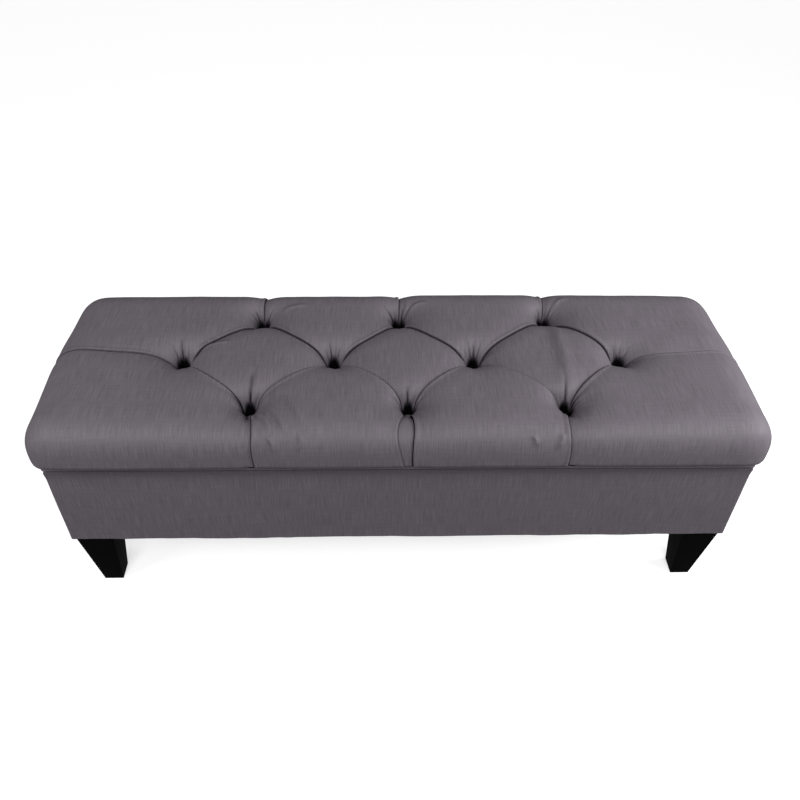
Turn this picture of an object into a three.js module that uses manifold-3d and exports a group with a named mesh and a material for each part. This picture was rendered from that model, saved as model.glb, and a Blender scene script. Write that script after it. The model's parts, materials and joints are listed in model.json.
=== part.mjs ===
// Upholstered storage bench: a fabric-covered box on four tapered legs, closed by a hinged lid
// that carries a deep-buttoned cushion. Two soft-close stays guide the lid.
// Millimetres, +Z up, the front faces -Y. The origin is on the floor, under the middle of the bench.

import * as THREE from "three";
import { mergeVertices } from "three/addons/utils/BufferGeometryUtils.js";
import Module from "manifold-3d";

const wasm = await Module();
wasm.setup();

// ---------------------------------------------------------------- driving dimensions
const BOX_WIDTH = 1245; // over the fabric
const BOX_DEPTH = 408;
const LEG_HEIGHT = 155; // floor to the underside of the box
const RIM_HEIGHT = 339; // floor to the top of the box's rim
const CROWN_HEIGHT = 450; // floor to the top of the cushion
const LID_BULGE = 20; // how far the cushion swells past the box at the front and back
const END_BULGE = 27.5; // the same at the two ends

const GAP = 0.3; // between pieces that touch
const HALF_X = BOX_WIDTH / 2;
const HALF_Y = BOX_DEPTH / 2;

// the box
const COVER = 2.5; // fabric and wadding on the box
const PANEL = 15; // plywood side panels
const FLANGE = 2; // fabric turned over the rim and under the box
const LINING = 1.5;
const FLOOR_PANEL = 9;
const BLOCK = 76; // corner block, square in plan
const BLOCK_HEIGHT = 30;
const DUST_CLOTH = 1.2;
const BOTTOM_TURN = 26; // how far the cover turns in under the box

// the legs
const LEG_TOP = 70; // square
const LEG_FOOT = 37;
const LEG_INSET = 42; // leg axis to the outside of the fabric
const BOLT_RADIUS = 4;
const BOLT_LENGTH = 65;
const BOLT_IN_LEG = 34;

// the lid
const LID_GAP = 3.6; // rim to lid: the two hinge leaves and their play
const LID_LINING = 1.2;
const LID_FLANGE = 2;
const LID_FLANGE_WIDTH = 30;
const LID_BOARD = 15;
const LID_BOARD_INSET = 7; // its edge to the outline of the box
const SKIN = 3; // fabric and wadding on the cushion
const TUCK_HEIGHT = 14; // the straight hem, over the edge of the board, below the cushion's bulge
const WIDEST_HEIGHT = 376; // level where the cushion is widest
const SHOULDER = 84; // width of the cushion's rounded shoulder
const SEAT_RINGS = [95, 165]; // the same outline further in, where the seat rises and where it levels off
const CROWN_RISE = 4; // from the shoulder to the middle of the seat
const HEM_CORNER = 12; // corner radius in plan at the hem
const CORNER_SWELL = 50; // how much that radius grows by the widest level

// the buttons: three rows in a diamond pattern
const BUTTON_PITCH = 275;
const ROW_PITCH = 126;
const BUTTON_RADIUS = 11;
const BUTTON_SEAT = 387; // height of the bottom of each dimple
const DIMPLE_RADIUS = 13; // the well the button sits in
const DIMPLE_MOUTH = 46; // radius where the dimple meets the seat
const TWINE_RADIUS = 1;

// the hinges
const HINGE_X = 420;
const HINGE_LENGTH = 70;
const BARREL_RADIUS = 4;
const PIN_RADIUS = 1.6;
const LEAF = 1.25;
const LEAF_REACH = 19; // the leaf stays on the rim
const AXIS_Y = HALF_Y + 4.6;
const AXIS_Z = RIM_HEIGHT + LID_GAP / 2;

// the stays: a lever and a link that stay parallel to the lid and to the line from pivot to hinge
const STAY_PIVOT = { forward: 46, down: 105 }; // on the box, from the hinge axis
const STAY_BRACKET = { forward: 150, down: 18 }; // on the lid, from the hinge axis
const ARM = 2.4; // arm thickness
const ARM_WIDTH = 16;
const RIVET_RADIUS = 3;
const RIVET_PLAY = 0.3;
const HOUSING_RADIUS = 18;
const HOUSING_DEPTH = 12;
const HOUSING_PLATE = { front: 30, back: 20, half: 22 }; // its plate's edges, from the pivot
const EAR_HALF = 10; // the lid bracket's upright ear, half its width
const FOOT_HALF = 24; // the bracket's foot on the lid, half its length
const FOOT_WIDTH = 26;

// ---------------------------------------------------------------- levels that follow from them
const PANEL_OUT_X = HALF_X - COVER - GAP;
const PANEL_OUT_Y = HALF_Y - COVER - GAP;
const PANEL_IN_X = PANEL_OUT_X - PANEL;
const PANEL_IN_Y = PANEL_OUT_Y - PANEL;
const PANEL_LOW = LEG_HEIGHT + FLANGE + GAP;
const PANEL_HIGH = RIM_HEIGHT - FLANGE - GAP;
const FLOOR_LOW = PANEL_LOW + BLOCK_HEIGHT + GAP;
const LINING_LOW = FLOOR_LOW + FLOOR_PANEL + GAP;
const LINING_IN_X = PANEL_IN_X - GAP - LINING;
const LINING_IN_Y = PANEL_IN_Y - GAP - LINING;
const LID_LOW = RIM_HEIGHT + LID_GAP;
const LID_COVER_LOW = LID_LOW + LID_LINING + GAP;
const BOARD_LOW = LID_COVER_LOW + LID_FLANGE + GAP;
const BOARD_HIGH = BOARD_LOW + LID_BOARD;

// ---------------------------------------------------------------- materials
const finish = (name, color, roughness, metalness = 0) =>
  new THREE.MeshStandardMaterial({ name, color, roughness, metalness });
const upholstery = finish("upholstery", 0x665f67, 0.85);
const liningCloth = finish("lining_cloth", 0x232225, 0.95);
const plywood = finish("plywood", 0xc9a877, 0.7);
const legWood = finish("leg_wood", 0x0c0b0b, 0.35);
const foam = finish("foam", 0xe6dfc8, 0.95);
const steel = finish("zinc_steel", 0xb4b6b8, 0.35, 1);
const darkPlastic = finish("dark_plastic", 0x1b1b1d, 0.5);
const twineFibre = finish("twine", 0xd8d0bd, 0.9);

// ---------------------------------------------------------------- shape helpers
function solid(geometry) {
  const bare = new THREE.BufferGeometry();
  bare.setAttribute("position", geometry.getAttribute("position").clone());
  if (geometry.index) bare.setIndex(geometry.index.clone());
  const merged = mergeVertices(bare, 1e-4);
  const vertProperties = new Float32Array(merged.attributes.position.array);
  const triVerts = new Uint32Array(merged.index.array);
  return new wasm.Manifold(new wasm.Mesh({ numProp: 3, vertProperties, triVerts }));
}

function geometryOf(manifold) {
  const mesh = manifold.getMesh();
  const geometry = new THREE.BufferGeometry();
  geometry.setAttribute("position", new THREE.BufferAttribute(mesh.vertProperties, 3));
  geometry.setIndex(new THREE.BufferAttribute(mesh.triVerts, 1));
  const flat = geometry.toNonIndexed();
  flat.computeVertexNormals();
  return flat;
}

// A box from its lowest and highest corners.
function boxBetween(low, high) {
  const size = high.map((value, axis) => value - low[axis]);
  const geometry = new THREE.BoxGeometry(...size);
  geometry.translate(...high.map((value, axis) => (value + low[axis]) / 2));
  return geometry;
}

// A box centred on the Z axis, by its half sizes and its levels.
const slab = (halfX, halfY, low, high) => boxBetween([-halfX, -halfY, low], [halfX, halfY, high]);

function uprightRod(radius, low, high, sides, x = 0, y = 0) {
  const geometry = new THREE.CylinderGeometry(radius, radius, high - low, sides);
  geometry.rotateX(Math.PI / 2);
  geometry.translate(x, y, (low + high) / 2);
  return geometry;
}

// A rod along X between two places.
function crossRod(radius, fromX, toX, y, z, sides) {
  const geometry = new THREE.CylinderGeometry(radius, radius, Math.abs(toX - fromX), sides);
  geometry.rotateZ(Math.PI / 2);
  geometry.translate((fromX + toX) / 2, y, z);
  return geometry;
}

const join = (shapes) => shapes.reduce((whole, shape) => whole.add(shape));

// ---------------------------------------------------------------- the part
const bench = new THREE.Group();
bench.name = "storage_bench";

function place(name, geometry, material, parent = bench) {
  const mesh = new THREE.Mesh(geometry, material);
  mesh.name = name;
  parent.add(mesh);
  return mesh;
}

const SIDES = [
  ["left", -1],
  ["right", 1],
];
const ENDS = [
  ["front", -1],
  ["back", 1],
];
const CORNERS = ENDS.flatMap(([end, y]) => SIDES.map(([side, x]) => [`${end}_${side}`, x, y]));

// Plywood frame: the front and back run the full length, the sides fit between them.
function addFrame() {
  for (const [end, y] of ENDS) {
    const near = Math.min(y * PANEL_OUT_Y, y * PANEL_IN_Y);
    const low = [-PANEL_OUT_X, near, PANEL_LOW];
    const high = [PANEL_OUT_X, near + PANEL, PANEL_HIGH];
    place(`${end}_panel`, boxBetween(low, high), plywood);
  }
  for (const [side, x] of SIDES) {
    const near = Math.min(x * PANEL_OUT_X, x * PANEL_IN_X);
    const low = [near, -PANEL_IN_Y + GAP, PANEL_LOW];
    const high = [near + PANEL, PANEL_IN_Y - GAP, PANEL_HIGH];
    place(`${side}_panel`, boxBetween(low, high), plywood);
  }
  const floor = slab(PANEL_IN_X - GAP, PANEL_IN_Y - GAP, FLOOR_LOW, FLOOR_LOW + FLOOR_PANEL);
  place("bottom_panel", floor, plywood);
}

// The fabric round the box, turned over the rim and under the bottom edge.
function addBoxCover() {
  const outside = solid(slab(HALF_X, HALF_Y, LEG_HEIGHT, RIM_HEIGHT));
  const frame = solid(
    slab(HALF_X - COVER, HALF_Y - COVER, LEG_HEIGHT + FLANGE, RIM_HEIGHT - FLANGE),
  );
  const mouth = solid(
    slab(LINING_IN_X - GAP, LINING_IN_Y - GAP, RIM_HEIGHT - FLANGE - 1, RIM_HEIGHT + 1),
  );
  const underside = solid(
    slab(HALF_X - BOTTOM_TURN, HALF_Y - BOTTOM_TURN, LEG_HEIGHT - 1, LEG_HEIGHT + FLANGE + 1),
  );
  const cover = outside.subtract(frame).subtract(mouth).subtract(underside);
  place("box_cover", geometryOf(cover), upholstery);
}

// The cloth lining of the storage space: a floor and four walls.
function addLining() {
  const outside = solid(slab(PANEL_IN_X - GAP, PANEL_IN_Y - GAP, LINING_LOW, PANEL_HIGH));
  const inside = solid(slab(LINING_IN_X, LINING_IN_Y, LINING_LOW + LINING, PANEL_HIGH + 1));
  place("box_lining", geometryOf(outside.subtract(inside)), liningCloth);
}

// Tapered legs, each held by a hanger bolt that runs up into a corner block.
function addLegs() {
  const legX = HALF_X - LEG_INSET;
  const legY = HALF_Y - LEG_INSET;
  const legTop = LEG_HEIGHT - GAP;
  const boltLow = legTop - BOLT_IN_LEG;
  const hole = (low, high) => solid(uprightRod(BOLT_RADIUS + GAP, low, high, 12));

  const halfDiagonal = (side) => side / Math.SQRT2;
  const taper = new THREE.CylinderGeometry(
    halfDiagonal(LEG_TOP),
    halfDiagonal(LEG_FOOT),
    legTop,
    4,
  );
  taper.rotateY(Math.PI / 4);
  taper.rotateX(Math.PI / 2);
  taper.translate(0, 0, legTop / 2);
  const leg = geometryOf(solid(taper).subtract(hole(boltLow - GAP, legTop + 1)));

  const cloth = slab(
    HALF_X - BOTTOM_TURN - GAP,
    HALF_Y - BOTTOM_TURN - GAP,
    LEG_HEIGHT,
    LEG_HEIGHT + DUST_CLOTH,
  );
  let dustCloth = solid(cloth);
  for (const [corner, x, y] of CORNERS) {
    const boltHole = hole(LEG_HEIGHT - 1, PANEL_LOW + BLOCK_HEIGHT + 1);
    const here = boltHole.translate(x * legX, y * legY, 0);
    dustCloth = dustCloth.subtract(here);

    place(`leg_${corner}`, leg, legWood).position.set(x * legX, y * legY, 0);
    const bolt = uprightRod(BOLT_RADIUS, boltLow, boltLow + BOLT_LENGTH, 12);
    place(`leg_bolt_${corner}`, bolt, steel).position.set(x * legX, y * legY, 0);

    const outer = [x * (PANEL_IN_X - GAP), y * (PANEL_IN_Y - GAP)];
    const inner = [outer[0] - x * BLOCK, outer[1] - y * BLOCK];
    const low = [Math.min(outer[0], inner[0]), Math.min(outer[1], inner[1]), PANEL_LOW];
    const high = [low[0] + BLOCK, low[1] + BLOCK, PANEL_LOW + BLOCK_HEIGHT];
    const block = solid(boxBetween(low, high)).subtract(here);
    place(`corner_block_${corner}`, geometryOf(block), plywood);
  }
  place("bottom_dust_cloth", geometryOf(dustCloth), liningCloth);
}

// ---------------------------------------------------------------- the cushion's outline
// The plan at one level: a rounded rectangle. swell is the share of the bulge reached at that level,
// and inset is how far inside that outline it lies.
function planLoop({ swell, inset, z }) {
  const growX = swell * END_BULGE - inset;
  const growY = swell * LID_BULGE - inset;
  const radius = Math.max(HEM_CORNER + swell * CORNER_SWELL - inset, 4);
  const steps = 4;
  const loop = [];
  for (let corner = 0; corner < 4; corner++) {
    const signX = corner === 0 || corner === 3 ? 1 : -1;
    const signY = corner < 2 ? 1 : -1;
    for (let step = 0; step <= steps; step++) {
      const angle = ((corner + step / steps) * Math.PI) / 2;
      const x = signX * (HALF_X + growX - radius) + radius * Math.cos(angle);
      const y = signY * (HALF_Y + growY - radius) + radius * Math.sin(angle);
      loop.push([x, y, z]);
    }
  }
  return loop;
}

// The cushion's side profile from hem to crown, moved inwards by a skin thickness.
function cushionProfile(skin, bottom) {
  const tuckZ = LID_COVER_LOW + TUCK_HEIGHT;
  const shoulderZ = CROWN_HEIGHT - CROWN_RISE;
  const profile = [{ swell: 0, inset: skin, z: bottom }];
  for (const degrees of [-90, -60, -30]) {
    const a = THREE.MathUtils.degToRad(degrees);
    const z = WIDEST_HEIGHT + (WIDEST_HEIGHT - tuckZ - skin) * Math.sin(a);
    profile.push({ swell: Math.cos(a), inset: skin, z });
  }
  for (const degrees of [0, 18, 36, 54, 72, 90]) {
    const a = THREE.MathUtils.degToRad(degrees);
    const inset = SHOULDER * (1 - Math.cos(a)) + skin * Math.cos(a);
    const z = WIDEST_HEIGHT + (shoulderZ - WIDEST_HEIGHT - skin) * Math.sin(a);
    profile.push({ swell: 1, inset, z });
  }
  profile.push({ swell: 0, inset: SEAT_RINGS[0], z: CROWN_HEIGHT - CROWN_RISE / 4 - skin });
  profile.push({ swell: 0, inset: SEAT_RINGS[1], z: CROWN_HEIGHT - skin });
  return profile;
}

// A closed body from the stacked loops of a profile.
function cushionBody(skin, bottom) {
  const loops = cushionProfile(skin, bottom).map(planLoop);
  const count = loops[0].length;
  const points = loops.flat();
  const faces = [];
  for (let level = 0; level + 1 < loops.length; level++) {
    for (let i = 0; i < count; i++) {
      const a = level * count + i;
      const b = level * count + ((i + 1) % count);
      faces.push(a, b, b + count, a, b + count, a + count);
    }
  }
  const low = points.push([0, 0, loops[0][0][2]]) - 1;
  const high = points.push([0, 0, loops.at(-1)[0][2]]) - 1;
  const last = (loops.length - 1) * count;
  for (let i = 0; i < count; i++) {
    const next = (i + 1) % count;
    faces.push(low, next, i, high, last + i, last + next);
  }
  const geometry = new THREE.BufferGeometry();
  geometry.setAttribute("position", new THREE.Float32BufferAttribute(points.flat(), 3));
  geometry.setIndex(faces);
  return solid(geometry);
}

// The ten buttons: three in the front and back rows, four in the middle row between them. Each is
// drawn down by hand, so it sits a little off the regular grid along the row.
const BUTTONS = [
  ["front", -1, [-1, 0, 1], [8, 11, 15]],
  ["middle", 0, [-1.5, -0.5, 0.5, 1.5], [8, 12, 0, 0]],
  ["back", 1, [-1, 0, 1], [6, -1, 14]],
].flatMap(([row, y, places, drift]) =>
  places.map((x, i) => [`${row}_${i + 1}`, x * BUTTON_PITCH + drift[i], y * ROW_PITCH]),
);

// The dimple each button pulls into the cushion, opening towards the seat.
function dimple(grown) {
  const top = CROWN_HEIGHT + 10;
  const outline = [
    [0, BUTTON_SEAT - grown],
    [DIMPLE_RADIUS + grown, BUTTON_SEAT - grown],
    [DIMPLE_RADIUS + 2 + grown, BUTTON_SEAT + 24],
    [DIMPLE_RADIUS + 11 + grown, BUTTON_SEAT + 44],
    [DIMPLE_MOUTH + grown, CROWN_HEIGHT - 0.5],
    [DIMPLE_MOUTH + 10 + grown, top],
    [0, top],
  ];
  const lathe = new THREE.LatheGeometry(
    outline.map(([r, z]) => new THREE.Vector2(r, z)),
    12,
  );
  lathe.rotateX(Math.PI / 2);
  return solid(lathe);
}

function atEachButton(shape) {
  return join(BUTTONS.map(([, x, y]) => shape.translate(x, y, 0)));
}

function addLid() {
  const twineHole = (radius, low, high) =>
    atEachButton(solid(uprightRod(TWINE_RADIUS + radius, low, high, 8)));

  const boardX = HALF_X - LID_BOARD_INSET;
  const boardY = HALF_Y - LID_BOARD_INSET;
  const board = solid(slab(boardX, boardY, BOARD_LOW, BOARD_HIGH));
  const boardHoles = twineHole(2, BOARD_LOW - 1, BOARD_HIGH + 1);
  place("lid_board", geometryOf(board.subtract(boardHoles)), plywood);

  // the foam is pulled down over the edges of the board
  const boardRoom = solid(slab(boardX + GAP, boardY + GAP, BOARD_LOW - 5, BOARD_HIGH + GAP));
  const foamBlock = cushionBody(SKIN + GAP, BOARD_LOW)
    .subtract(boardRoom)
    .subtract(atEachButton(dimple(SKIN + GAP)))
    .subtract(twineHole(2, BOARD_HIGH - 1, CROWN_HEIGHT));
  place("seat_foam", geometryOf(foamBlock), foam);

  // the cover follows the foam down into each dimple, and turns in under the board
  const inside = cushionBody(SKIN, LID_COVER_LOW + LID_FLANGE).subtract(atEachButton(dimple(SKIN)));
  const opening = slab(
    HALF_X - LID_FLANGE_WIDTH,
    HALF_Y - LID_FLANGE_WIDTH,
    LID_COVER_LOW - 1,
    LID_COVER_LOW + LID_FLANGE + 1,
  );
  const cover = cushionBody(0, LID_COVER_LOW)
    .subtract(inside)
    .subtract(atEachButton(dimple(0)))
    .subtract(solid(opening))
    .subtract(twineHole(1, BUTTON_SEAT - SKIN - 1, BUTTON_SEAT + 1));
  place("lid_cover", geometryOf(cover), upholstery);

  const lining = slab(HALF_X - 8, HALF_Y - 8, LID_LOW, LID_LOW + LID_LINING);
  place("lid_lining", lining, liningCloth);
}

// Covered buttons, each pulled down by a loop of twine through the foam and the board.
function addButtons() {
  const base = BUTTON_SEAT + GAP;
  const outline = [
    [0, base],
    [BUTTON_RADIUS * 0.8, base],
    [BUTTON_RADIUS, base + 2.5],
    [BUTTON_RADIUS * 0.9, base + 5],
    [BUTTON_RADIUS * 0.6, base + 7.2],
    [0, base + 8.5],
  ].map(([r, z]) => new THREE.Vector2(r, z));
  const button = new THREE.LatheGeometry(outline, 12);
  button.rotateX(Math.PI / 2);
  const buttonGeometry = geometryOf(solid(button));
  const twine = uprightRod(TWINE_RADIUS, BOARD_LOW, BUTTON_SEAT, 6);
  for (const [where, x, y] of BUTTONS) {
    place(`button_${where}`, buttonGeometry, upholstery).position.set(x, y, 0);
    place(`button_twine_${where}`, twine, twineFibre).position.set(x, y, 0);
  }
}

// Butt hinges: five knuckles on one pin, three on the box's leaf and two on the lid's.
function addHinges() {
  const pitch = HINGE_LENGTH / 5;
  const play = 0.25;
  const bore = solid(crossRod(PIN_RADIUS + GAP, -HINGE_LENGTH, HINGE_LENGTH, AXIS_Y, AXIS_Z, 16));
  const leaf = (low, knuckles) => {
    const edge = AXIS_Y - BARREL_RADIUS - 0.5;
    const plate = solid(
      boxBetween(
        [-HINGE_LENGTH / 2, edge - LEAF_REACH, low],
        [HINGE_LENGTH / 2, edge, low + LEAF],
      ),
    );
    const parts = knuckles.flatMap((k) => {
      const from = -HINGE_LENGTH / 2 + k * pitch + (k ? play : 0);
      const to = -HINGE_LENGTH / 2 + (k + 1) * pitch - (k < 4 ? play : 0);
      const web = boxBetween([from, edge - 1, low], [to, AXIS_Y - PIN_RADIUS - GAP, low + LEAF]);
      return [solid(crossRod(BARREL_RADIUS, from, to, AXIS_Y, AXIS_Z, 16)), solid(web)];
    });
    return geometryOf(join([plate, ...parts]).subtract(bore));
  };
  const boxLeaf = leaf(RIM_HEIGHT + GAP, [0, 2, 4]);
  const lidLeaf = leaf(LID_LOW - GAP - LEAF, [1, 3]);
  const pin = crossRod(PIN_RADIUS, -HINGE_LENGTH / 2, HINGE_LENGTH / 2, AXIS_Y, AXIS_Z, 16);
  for (const [side, x] of SIDES) {
    place(`${side}_hinge_box_leaf`, boxLeaf, steel).position.x = x * HINGE_X;
    place(`${side}_hinge_lid_leaf`, lidLeaf, steel).position.x = x * HINGE_X;
    place(`${side}_hinge_pin`, pin, steel).position.x = x * HINGE_X;
  }
}

// A flat arm with round ends and a hole at each pivot, in a plane of constant X.
function arm(from, to, lowX, withHoles) {
  const along = new THREE.Vector2(to.y - from.y, to.z - from.z);
  const outline = new THREE.Shape();
  const heading = along.angle();
  outline.absarc(0, 0, ARM_WIDTH / 2, Math.PI / 2, (3 * Math.PI) / 2);
  outline.absarc(along.length(), 0, ARM_WIDTH / 2, -Math.PI / 2, Math.PI / 2);
  outline.closePath();
  for (const place of withHoles) {
    const hole = new THREE.Path();
    hole.absarc(place * along.length(), 0, RIVET_RADIUS + RIVET_PLAY, 0, 2 * Math.PI, true);
    outline.holes.push(hole);
  }
  const plate = new THREE.ExtrudeGeometry(outline, {
    depth: ARM,
    bevelEnabled: false,
    curveSegments: 8,
  });
  // the outline's plane becomes YZ, and the extrusion runs along +X
  plate.rotateZ(heading);
  const toSide = new THREE.Matrix4();
  toSide.set(0, 0, 1, lowX, 1, 0, 0, from.y, 0, 1, 0, from.z, 0, 0, 0, 1);
  plate.applyMatrix4(toSide);
  return plate;
}

// Soft-close stays. Pivot, elbow, bracket and hinge are the corners of a parallelogram, so the lever
// turns with the lid and the link keeps its direction.
function addStays() {
  const pivot = { y: AXIS_Y - STAY_PIVOT.forward, z: AXIS_Z - STAY_PIVOT.down };
  const bracket = { y: AXIS_Y - STAY_BRACKET.forward, z: AXIS_Z - STAY_BRACKET.down };
  const elbow = { y: pivot.y + bracket.y - AXIS_Y, z: pivot.z + bracket.z - AXIS_Z };

  // planes along +X, from the lining inwards: housing, lever, link, bracket ear
  const housingHigh = LINING_IN_X - GAP;
  const housingLow = housingHigh - HOUSING_DEPTH;
  const leverLow = housingLow - GAP - ARM;
  const linkLow = leverLow - GAP - ARM;
  const earLow = linkLow - GAP - ARM;
  const rivet = (from, to, at) => solid(crossRod(RIVET_RADIUS, from, to, at.y, at.z, 16));

  const plate = solid(
    boxBetween(
      [housingHigh - 2, pivot.y - HOUSING_PLATE.front, pivot.z - HOUSING_PLATE.half],
      [housingHigh, pivot.y + HOUSING_PLATE.back, pivot.z + HOUSING_PLATE.half],
    ),
  );
  const can = solid(crossRod(HOUSING_RADIUS, housingLow, housingHigh, pivot.y, pivot.z, 24));
  const housing = geometryOf(join([plate, can, rivet(leverLow, housingHigh, pivot)]));

  const lever = geometryOf(
    solid(arm(pivot, elbow, leverLow, [0])).add(rivet(linkLow, leverLow + ARM, elbow)),
  );
  const link = geometryOf(solid(arm(elbow, bracket, linkLow, [0, 1])));

  const ear = solid(
    boxBetween(
      [earLow, bracket.y - EAR_HALF, bracket.z - EAR_HALF + 1],
      [earLow + ARM, bracket.y + EAR_HALF, LID_LOW - GAP],
    ),
  );
  const foot = solid(
    boxBetween(
      [earLow - FOOT_WIDTH, bracket.y - FOOT_HALF, LID_LOW - GAP - 2],
      [earLow + ARM, bracket.y + FOOT_HALF, LID_LOW - GAP],
    ),
  );
  const earRivet = rivet(earLow, linkLow + ARM, bracket);
  const lidBracket = geometryOf(join([ear, foot, earRivet]));

  const pieces = { housing, lever, link, lid_bracket: lidBracket };
  for (const [side, x] of SIDES) {
    for (const [piece, geometry] of Object.entries(pieces)) {
      const material = piece === "housing" ? darkPlastic : steel;
      place(`${side}_stay_${piece}`, geometry, material).scale.x = x;
    }
  }
}

// Rubber buffers on the front rim, which the closed lid rests on.
function addBuffers() {
  const buffer = uprightRod(6, RIM_HEIGHT + GAP, LID_LOW - GAP, 16, 0, -HALF_Y + 14);
  for (const [side, x] of SIDES) {
    place(`lid_buffer_${side}`, buffer, darkPlastic).position.x = x * (HALF_X - 60);
  }
}

addFrame();
addBoxCover();
addLining();
addLegs();
addLid();
addButtons();
addHinges();
addStays();
addBuffers();

export default bench;
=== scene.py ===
"""The looks of the storage bench: a deep-buttoned cushion on a hinged lid, over a fabric-covered box.

Everything is in metres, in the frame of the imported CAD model: +X along the bench, the front faces -Y.
"""

import json
import math

import bmesh
import bpy
import numpy as np
from mathutils import Matrix, Vector


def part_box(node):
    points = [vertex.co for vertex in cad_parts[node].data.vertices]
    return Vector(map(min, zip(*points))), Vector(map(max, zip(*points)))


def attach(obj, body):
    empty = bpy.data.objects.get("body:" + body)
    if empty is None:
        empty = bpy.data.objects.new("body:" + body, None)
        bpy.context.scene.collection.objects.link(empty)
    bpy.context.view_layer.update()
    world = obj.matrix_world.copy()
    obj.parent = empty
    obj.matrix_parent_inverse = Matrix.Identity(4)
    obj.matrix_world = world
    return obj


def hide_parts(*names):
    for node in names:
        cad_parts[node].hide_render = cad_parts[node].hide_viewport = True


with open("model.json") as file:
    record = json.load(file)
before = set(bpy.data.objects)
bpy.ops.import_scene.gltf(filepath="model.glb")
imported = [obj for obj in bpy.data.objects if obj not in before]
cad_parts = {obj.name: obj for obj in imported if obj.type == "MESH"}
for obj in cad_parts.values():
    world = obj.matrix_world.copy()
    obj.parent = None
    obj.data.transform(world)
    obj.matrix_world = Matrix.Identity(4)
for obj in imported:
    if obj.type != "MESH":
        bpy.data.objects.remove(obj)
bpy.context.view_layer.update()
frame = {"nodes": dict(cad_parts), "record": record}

NODES = frame["nodes"]
CORNERS = [f"{end}_{side}" for end in ("front", "back") for side in ("left", "right")]
SIDES = {"left": -1, "right": 1}

# ---- driving sizes
LID_LOW, LID_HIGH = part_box("lid_cover")
BOX_LOW, BOX_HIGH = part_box("box_cover")
HALF_X, HALF_Y = BOX_HIGH.x, BOX_HIGH.y
LID_X, LID_Y = LID_HIGH.x, LID_HIGH.y
BULGE = (LID_X - HALF_X, LID_Y - HALF_Y)  # how far the cushion swells past the box, along X and along Y
FRONT_BULGE = 0.0190  # the same at the front, where the cushion is drawn in a little more
SHOULDER = 0.084  # width of the cushion's rounded shoulder
WIDEST = LID_LOW.z + 0.024  # level where the cushion is widest
HEM = 0.0095  # height of the straight strip over the edge of the board
HEM_CORNER = 0.009  # corner radius in plan at the hem
CROWN = 0.004  # rise of the seat from its shoulder to its middle
CLEAR = 0.0004  # gap between the cloth and the board
BOARD_LOW, BOARD_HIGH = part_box("lid_board")


# ---- materials
class Graph:
    """A node tree, with short ways to add the nodes that the finishes need."""

    def __init__(self, tree):
        self.nodes, self.links = tree.nodes, tree.links

    def feed(self, socket, value):
        """Links an output into a socket, or sets the socket's own value."""
        if isinstance(value, bpy.types.NodeSocket):
            self.links.new(value, socket)
        else:
            socket.default_value = value

    def node(self, kind, settings=(), **inputs):
        node = self.nodes.new(kind)
        for key, value in dict(settings).items():
            setattr(node, key, value)
        for key, value in inputs.items():
            self.feed(node.inputs[key], value)
        return node

    def math(self, operation, a, b):
        node = self.node("ShaderNodeMath", {"operation": operation})
        self.feed(node.inputs[0], a)
        self.feed(node.inputs[1], b)
        return node.outputs[0]

    def plus(self, a, b):
        return self.math("ADD", a, b)

    def times(self, a, b):
        return self.math("MULTIPLY", a, b)

    def noise(self, source, scale, detail=2.0, roughness=0.5):
        """Noise on a coordinate that may be scaled differently along each axis, for threads or grain."""
        place = self.node("ShaderNodeMapping", Vector=source, Scale=scale).outputs["Vector"]
        noise = self.node("ShaderNodeTexNoise", Vector=place, Scale=1.0, Detail=detail, Roughness=roughness)
        return noise.outputs["Fac"]

    def object_noise(self, scale, detail=3.0):
        """The same on the object's own coordinate."""
        return self.noise(self.nodes.new("ShaderNodeTexCoord").outputs["Object"], scale, detail)

    def ramp(self, source, *stops):
        """A colour for each value of the source: each stop is a value and its colour."""
        ramp = self.node("ShaderNodeValToRGB", Fac=source)
        elements = ramp.color_ramp.elements
        while len(elements) < len(stops):
            elements.new(0.5)
        for element, (place, colour) in zip(elements, stops):
            element.position = place
            element.color = (*colour, 1)
        return ramp.outputs["Color"]

    def bump(self, height, strength, distance):
        bump = self.node("ShaderNodeBump", Height=height, Strength=strength, Distance=distance)
        return bump.outputs["Normal"]


class Finish(Graph):
    """A material with its node tree and its shader."""

    def __init__(self, name):
        self.material = bpy.data.materials.new(name)
        self.material.use_nodes = True
        super().__init__(self.material.node_tree)

    def shade(self, **inputs):
        """Sets or links the shader's inputs, whose names are written with _ for a space."""
        for key, value in inputs.items():
            self.feed(self.nodes["Principled BSDF"].inputs[key.replace("_", " ")], value)
        return self.material


def grey(value, tint=(1.0, 1.0, 1.0)):
    return tuple(value * t for t in tint)


# Half width of the shade painted along a shut crease.
CREASE_HALF_WIDTH = 0.9  # mm


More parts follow.
